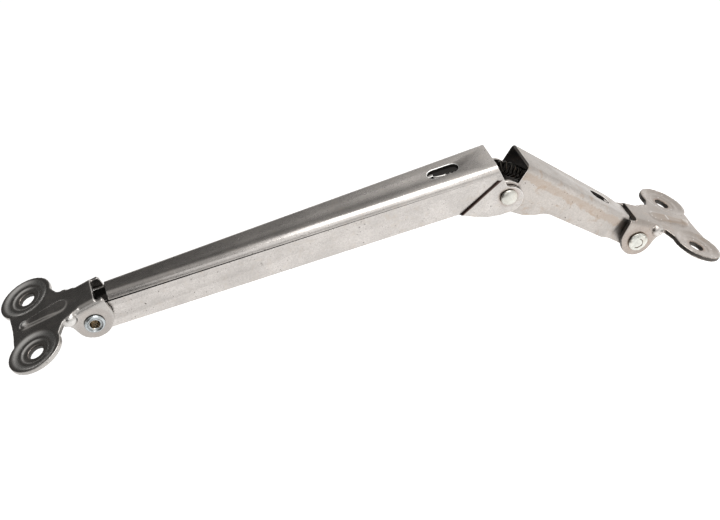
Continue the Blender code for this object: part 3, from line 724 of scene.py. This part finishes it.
def ring(centre, along):
    """End ring of the spring lying under a web, open towards the coil."""
    points = []
    for i in range(RING_STEPS + 1):
        angle = math.radians(-150 + 300 * i / RING_STEPS)
        forward = RING_RADIUS * math.cos(angle)
        points.append(Vector((centre[0] + along[0] * forward, RING_RADIUS * math.sin(angle),
                              centre[1] + along[1] * forward)))
    return points


def eased(points, rounds=2):
    """Soften the corners where the rings join the coil."""
    for _ in range(rounds):
        middle = [(a + b * 2 + c) / 4 for a, b, c in zip(points, points[1:], points[2:])]
        points = [points[0]] + middle + [points[-1]]
    return points


def bridge(a, b, steps=8):
    """Points between two wire ends."""
    return [a.lerp(b, i / steps) for i in range(1, steps)]


def wire_mesh(name, points, place):
    """A round wire along a line, with closed ends."""
    rows = []
    side = Vector((0, 1, 0))
    for i, point in enumerate(points):
        along = (points[min(i + 1, len(points) - 1)] - points[max(i - 1, 0)]).normalized()
        side = (side - along * side.dot(along)).normalized()
        third = along.cross(side)
        for k in range(WIRE_SIDES):
            angle = 2 * math.pi * k / WIRE_SIDES
            out = (side * math.cos(angle) + third * math.sin(angle)) * WIRE / 2
            rows.append(place @ ((point + out) * MM))
    faces = []
    for i in range(len(points) - 1):
        for k in range(WIRE_SIDES):
            j = (k + 1) % WIRE_SIDES
            faces.append((i * WIRE_SIDES + k, i * WIRE_SIDES + j, (i + 1) * WIRE_SIDES + j,
                          (i + 1) * WIRE_SIDES + k))
    last = (len(points) - 1) * WIRE_SIDES
    faces.append(tuple(range(WIRE_SIDES - 1, -1, -1)))
    faces.append(tuple(range(last, last + WIRE_SIDES)))
    mesh = bpy.data.meshes.new(name)
    mesh.from_pydata(rows, [], faces)
    mesh.shade_smooth()
    mesh.set_sharp_from_angle(angle=math.radians(50.0))
    return mesh


route, leave_long, leave_short = spring_route()
depth = ARM_SHEET + WIRE / 2 + 0.6
bend = SHORT_ANGLE - LONG_ANGLE
long_ring = ring((LONG_SLOT_START + 1.1, LONG_TOP - depth), (-1.0, 0.0))
short_ring = ring(turned_point((SHORT_SLOT_END - 1.1, SHORT_TOP - depth), bend),
                  turned_point((1.0, 0.0), bend))
coil = coil_points(route)
short_ring.reverse()
line = long_ring + bridge(long_ring[-1], coil[0]) + coil + bridge(coil[-1], short_ring[0]) + short_ring
spring = new_piece("spring", wire_mesh("spring", eased(line), LONG), SPRING_SHADE_AND_LIGHT, node="tension_spring")


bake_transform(spring)


# ---------------------------------------------------------------- floor, light and camera

def floor():
    """A wide pale floor, low enough to stay clear of the arms when they hang straight down."""
    size = 6.0
    level = cad_low.z - FLOOR_DROP
    mesh = bpy.data.meshes.new("floor")
    mesh.from_pydata([(-size, -size, level), (size, -size, level), (size, size, level), (-size, size, level)],
                     [], [(0, 1, 2, 3)])
    mat = bpy.data.materials.new("floor_pale")
    mat.use_nodes = True
    shader = mat.node_tree.nodes["Principled BSDF"]
    shader.inputs["Base Color"].default_value = (0.93, 0.93, 0.93, 1.0)
    shader.inputs["Roughness"].default_value = 0.9
    shader.inputs["Emission Color"].default_value = (1.0, 1.0, 1.0, 1.0)
    shader.inputs["Emission Strength"].default_value = FLOOR_GLOW
    obj = bpy.data.objects.new("floor", mesh)
    bpy.context.scene.collection.objects.link(obj)
    mesh.materials.append(mat)


def soft_light(name, place, target, size, power):
    """A rectangular soft light aimed at a point."""
    data = bpy.data.lights.new(name, "AREA")
    data.shape = "RECTANGLE"
    data.size, data.size_y = size
    data.energy = power
    obj = bpy.data.objects.new(name, data)
    bpy.context.scene.collection.objects.link(obj)
    obj.location = place
    obj.rotation_euler = (Vector(target) - Vector(place)).to_track_quat("-Z", "Y").to_euler()
    return obj


def surround():
    """A studio surround: pale low down, a dark screen up on the left, paler to the right and overhead."""
    world = bpy.data.worlds.new("studio")
    bpy.context.scene.world = world
    world.use_nodes = True
    tree = world.node_tree
    coords = tree.nodes.new("ShaderNodeTexCoord")
    split = tree.nodes.new("ShaderNodeSeparateXYZ")
    tree.links.new(coords.outputs["Generated"], split.inputs[0])

    def ramp(source, stops, offset=0.0):
        """Grey levels along a value, which offset moves into the range 0 to 1."""
        shift = tree.nodes.new("ShaderNodeMath")
        shift.operation = "ADD"
        tree.links.new(source, shift.inputs[0])
        shift.inputs[1].default_value = offset
        node = tree.nodes.new("ShaderNodeValToRGB")
        tree.links.new(shift.outputs[0], node.inputs["Fac"])
        elements = node.color_ramp.elements
        while len(elements) < len(stops):
            elements.new(0.5)
        for element, (where, level) in zip(elements, stops):
            element.position = where
            element.color = (level, level * 0.985, level * 0.965, 1.0)
        return node.outputs["Color"]

    sideways = ramp(split.outputs["X"],
                    ((0.2, 0.05), (0.5, 0.11), (0.62, 0.22), (0.80, 0.34), (0.92, 0.55), (1.0, 0.9)), 0.5)
    upwards = ramp(split.outputs["Z"], ((0.0, 0.95), (0.75, 0.30), (1.0, 0.5)))
    share = ramp(split.outputs["Z"], ((0.03, 0.0), (0.16, 1.0), (0.70, 1.0), (0.92, 0.0)))
    mix = tree.nodes.new("ShaderNodeMix")
    mix.data_type = "RGBA"
    tree.links.new(share, mix.inputs["Factor"])
    tree.links.new(upwards, mix.inputs["A"])
    tree.links.new(sideways, mix.inputs["B"])
    tree.links.new(mix.outputs["Result"], tree.nodes["Background"].inputs["Color"])


floor()
surround()
middle = (cad_low + cad_high) / 2
soft_light("overhead", middle + Vector((0.32, -0.06, 0.55)), middle, (0.64, 0.42), 2.8)
soft_light("front", middle + Vector((0.15, -0.75, 0.55)), middle, (1.0, 0.7), 2.4)

camera = bpy.data.objects.new("camera", bpy.data.cameras.new("camera"))
bpy.context.scene.collection.objects.link(camera)
camera.location = CAMERA_PLACE
camera.rotation_euler = [math.radians(value) for value in CAMERA_TURN]
camera.data.lens = CAMERA_LENS
camera.data.sensor_width = 36.0
camera.data.clip_start = 0.01
bpy.context.scene.camera = camera
bpy.context.scene.view_settings.view_transform = "Standard"
